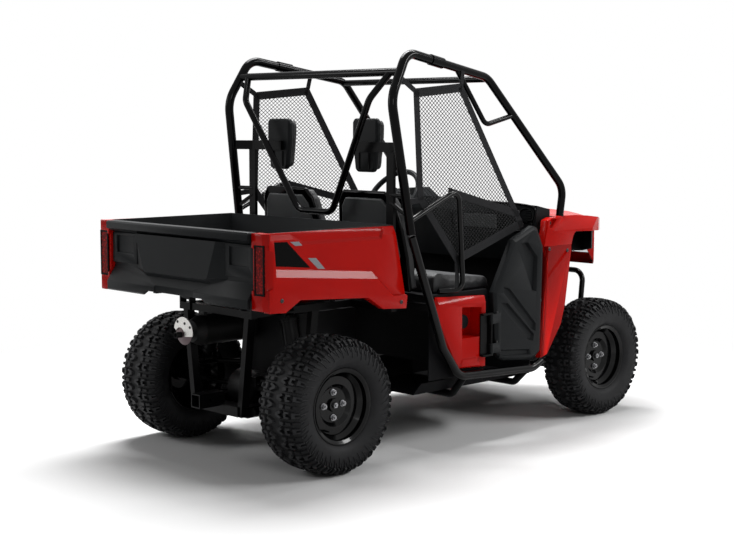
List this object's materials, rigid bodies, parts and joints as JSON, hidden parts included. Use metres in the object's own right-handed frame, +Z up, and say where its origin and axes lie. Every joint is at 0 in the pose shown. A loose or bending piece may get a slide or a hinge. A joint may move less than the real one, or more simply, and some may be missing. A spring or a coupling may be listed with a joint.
{
  "type": "two-seat side by side utility vehicle",
  "caption": "Off-road utility vehicle with a tube cage and side nets, half doors, steered front wheels and a tilting cargo bed with a drop tailgate.",
  "frame": {"origin": "on the ground under the middle of the overall box", "axes": "+X ahead, +Y to the vehicle's left, +Z up"},
  "size_m": [2.651, 1.268, 1.82],
  "materials": {
    "tyre": "matte",
    "black_metal": "gloss black",
    "red_plastic": "gloss",
    "black_plastic": "textured",
    "dark_plastic": "textured",
    "lens_red": "gloss",
    "lens_clear": "clear",
    "vinyl": "matte vinyl",
    "mesh": "woven mesh",
    "steel": "brushed",
    "cast": "cast"
  },
  "bodies": {
    "frame": {"front_wishbones": "black_metal", "rear_wishbones": "black_metal", "front_shocks": "black_metal", "rear_shocks": "black_metal", "rear_knuckles": "black_metal", "rack_housing": "black_metal", "chassis_rails": "black_metal", "side_tubes": "black_metal", "outriggers": "black_metal", "rear_posts": "black_metal", "bed_deck": "black_metal", "front_frame": "black_metal", "rear_hoops": "black_metal", "front_pillars": "black_metal", "cage_couplers": "black_metal", "cage_crossbars": "black_metal", "centre_brace": "black_metal", "seat_back_frames": "black_metal", "shoulder_guards": "black_metal", "side_nets": "mesh", "engine": "cast", "gear_cases": "cast", "prop_shaft": "black_metal", "half_shafts": "black_metal", "muffler": "steel", "floor_pan": "black_plastic", "seat_base": "black_plastic", "seat_cushions": "vinyl", "seat_backs": "vinyl", "headrests": "vinyl", "steering_column": "black_metal", "dash_panel": "black_plastic", "door_hinges": "black_metal", "side_panels": "red_plastic", "filler_caps": "black_plastic", "cowl_sides": "red_plastic", "front_fenders": "red_plastic", "fender_liners": "black_plastic", "hood": "red_plastic", "headlamps": "lens_clear", "front_bumper": "black_metal", "skid_plate": "black_plastic"},
    "wheel_rear_left": {"tyre_rear_left": "tyre", "rim_rear_left": "black_metal"},
    "wheel_rear_right": {"tyre_rear_right": "tyre", "rim_rear_right": "black_metal"},
    "wheel_front_left": {"tyre_front_left": "tyre", "rim_front_left": "black_metal"},
    "wheel_front_right": {"tyre_front_right": "tyre", "rim_front_right": "black_metal"},
    "knuckle_left": {"knuckle_front_left": "black_metal"},
    "knuckle_right": {"knuckle_front_right": "black_metal"},
    "steering_wheel": {"steering_wheel": "black_plastic"},
    "steering_rack": {"steering_rack": "black_metal"},
    "door_left": {"door_left": "dark_plastic"},
    "door_right": {"door_right": "dark_plastic"},
    "bed": {"bed_tub": "black_plastic", "bed_sides": "red_plastic", "tail_lamps": "lens_red"},
    "tailgate": {"tailgate": "dark_plastic"}
  },
  "joints": [
    {"name": "wheel_rear_left_spin", "type": "hinge", "parent": "frame", "child": "wheel_rear_left", "pos_m": [-0.8955, 0.507, 0.3], "axis": [0, 1, 0], "continuous": true},
    {"name": "wheel_rear_right_spin", "type": "hinge", "parent": "frame", "child": "wheel_rear_right", "pos_m": [-0.8955, -0.507, 0.3], "axis": [0, 1, 0], "continuous": true},
    {"name": "wheel_front_left_spin", "type": "hinge", "parent": "knuckle_left", "child": "wheel_front_left", "pos_m": [0.9585, 0.522, 0.3], "axis": [0, 1, 0], "continuous": true},
    {"name": "wheel_front_right_spin", "type": "hinge", "parent": "knuckle_right", "child": "wheel_front_right", "pos_m": [0.9585, -0.522, 0.3], "axis": [0, 1, 0], "continuous": true},
    {"name": "steering_wheel_turn", "type": "hinge", "parent": "frame", "child": "steering_wheel", "pos_m": [0.3095, 0.295, 1.118], "axis": [-0.788, 0, 0.6157], "range_deg": [-270, 270]},
    {"name": "knuckle_left_steer", "type": "hinge", "parent": "frame", "child": "knuckle_left", "pos_m": [0.9585, 0.446, 0.3], "axis": [0, -0.1045, 0.9945], "range_deg": [-30.01, 30.01]},
    {"name": "knuckle_right_steer", "type": "hinge", "parent": "frame", "child": "knuckle_right", "pos_m": [0.9585, -0.446, 0.3], "axis": [0, 0.1045, 0.9945], "range_deg": [-30.01, 30.01]},
    {"name": "steering_rack_slide", "type": "slide", "parent": "frame", "child": "steering_rack", "axis": [0, -1, 0], "range_m": [-0.05028, 0.05028]},
    {"name": "door_left_swing", "type": "hinge", "parent": "frame", "child": "door_left", "pos_m": [0.0585, 0.61, 0.42], "axis": [0, 0, 1], "range_deg": [0, 72]},
    {"name": "door_right_swing", "type": "hinge", "parent": "frame", "child": "door_right", "pos_m": [0.0585, -0.61, 0.42], "axis": [0, 0, -1], "range_deg": [0, 72]},
    {"name": "bed_tilt", "type": "hinge", "parent": "frame", "child": "bed", "pos_m": [-1.0855, 0, 0.718], "axis": [0, -1, 0], "range_deg": [0, 42]},
    {"name": "tailgate_drop", "type": "hinge", "parent": "bed", "child": "tailgate", "pos_m": [-1.2995, 0, 0.754], "axis": [0, -1, 0], "range_deg": [0, 90]}
  ],
  "couplings": [
    {"joint": "knuckle_left_steer", "follows": "steering_wheel_turn", "ratio": 0.11111},
    {"joint": "knuckle_right_steer", "follows": "steering_wheel_turn", "ratio": 0.11111},
    {"joint": "steering_rack_slide", "follows": "steering_wheel_turn", "m_per_rad": 0.010667}
  ]
}
